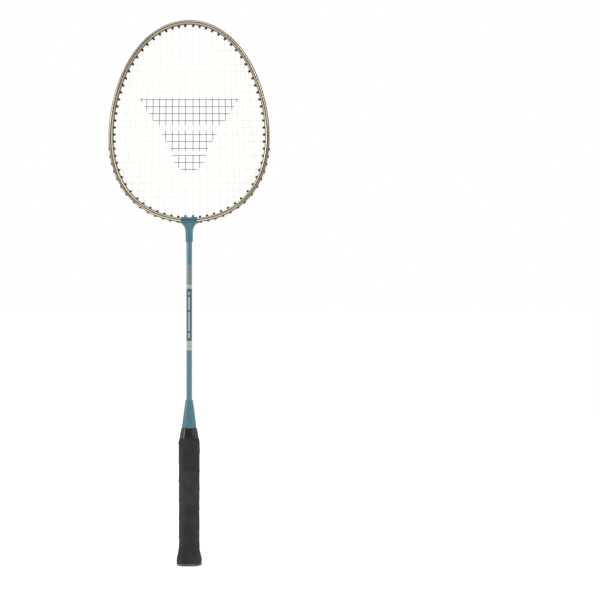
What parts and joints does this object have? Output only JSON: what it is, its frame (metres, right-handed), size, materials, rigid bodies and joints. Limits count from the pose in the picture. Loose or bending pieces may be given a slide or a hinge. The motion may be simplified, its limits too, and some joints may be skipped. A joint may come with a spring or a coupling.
{
  "type": "badminton racket",
  "caption": "Strung badminton racket with an egg-shaped metal head, moulded throat joint, thin painted steel shaft and a wrapped octagonal handle.",
  "frame": {"origin": "centre of the flat underside of the butt cap, where the upright racket rests", "axes": "+Z along the shaft from the butt to the tip of the head; +X across the string bed; -Y out of the front face"},
  "size_m": [0.199, 0.0288, 0.665],
  "materials": {
    "frame_metal": "champagne metallic lacquer, glossy",
    "bare_aluminium": "plain mill finish",
    "teal_plastic": "satin gloss moulding",
    "teal_paint": "gloss lacquer over steel",
    "handle_wood": "unfinished, hidden",
    "grip_wrap": "matte synthetic leather, lightly embossed",
    "gloss_tape": "glossy vinyl tape",
    "butt_cap": "matte moulding",
    "grommet_nylon": "satin nylon",
    "string": "natural nylon string with a black stencilled motif"
  },
  "bodies": {
    "root": {"head_frame": "frame_metal", "frame_joint_plug": "bare_aluminium", "throat_joint": "teal_plastic", "shaft": "teal_paint", "cone_ferrule": "teal_plastic", "handle_core": "handle_wood", "grip_wrap": "grip_wrap", "finishing_tape": "gloss_tape", "butt_cap": "butt_cap", "main_string": "string", "cross_string": "string", "grommet_strip_tip_left": "grommet_nylon", "grommet_strip_shoulder_left": "grommet_nylon", "grommet_strip_flank_left": "grommet_nylon", "grommet_left_22": "grommet_nylon", "grommet_left_23": "grommet_nylon", "grommet_left_24": "grommet_nylon", "grommet_left_25": "grommet_nylon", "grommet_left_26": "grommet_nylon", "grommet_left_27": "grommet_nylon", "grommet_left_28": "grommet_nylon", "grommet_left_29": "grommet_nylon", "grommet_left_30": "grommet_nylon", "grommet_left_31": "grommet_nylon", "grommet_left_32": "grommet_nylon", "grommet_left_33": "grommet_nylon", "grommet_left_34": "grommet_nylon", "grommet_left_35": "grommet_nylon", "grommet_strip_tip_right": "grommet_nylon", "grommet_strip_shoulder_right": "grommet_nylon", "grommet_strip_flank_right": "grommet_nylon", "grommet_right_22": "grommet_nylon", "grommet_right_23": "grommet_nylon", "grommet_right_24": "grommet_nylon", "grommet_right_25": "grommet_nylon", "grommet_right_26": "grommet_nylon", "grommet_right_27": "grommet_nylon", "grommet_right_28": "grommet_nylon", "grommet_right_29": "grommet_nylon", "grommet_right_30": "grommet_nylon", "grommet_right_31": "grommet_nylon", "grommet_right_32": "grommet_nylon", "grommet_right_33": "grommet_nylon", "grommet_right_34": "grommet_nylon", "grommet_right_35": "grommet_nylon"}
  },
  "joints": []
}
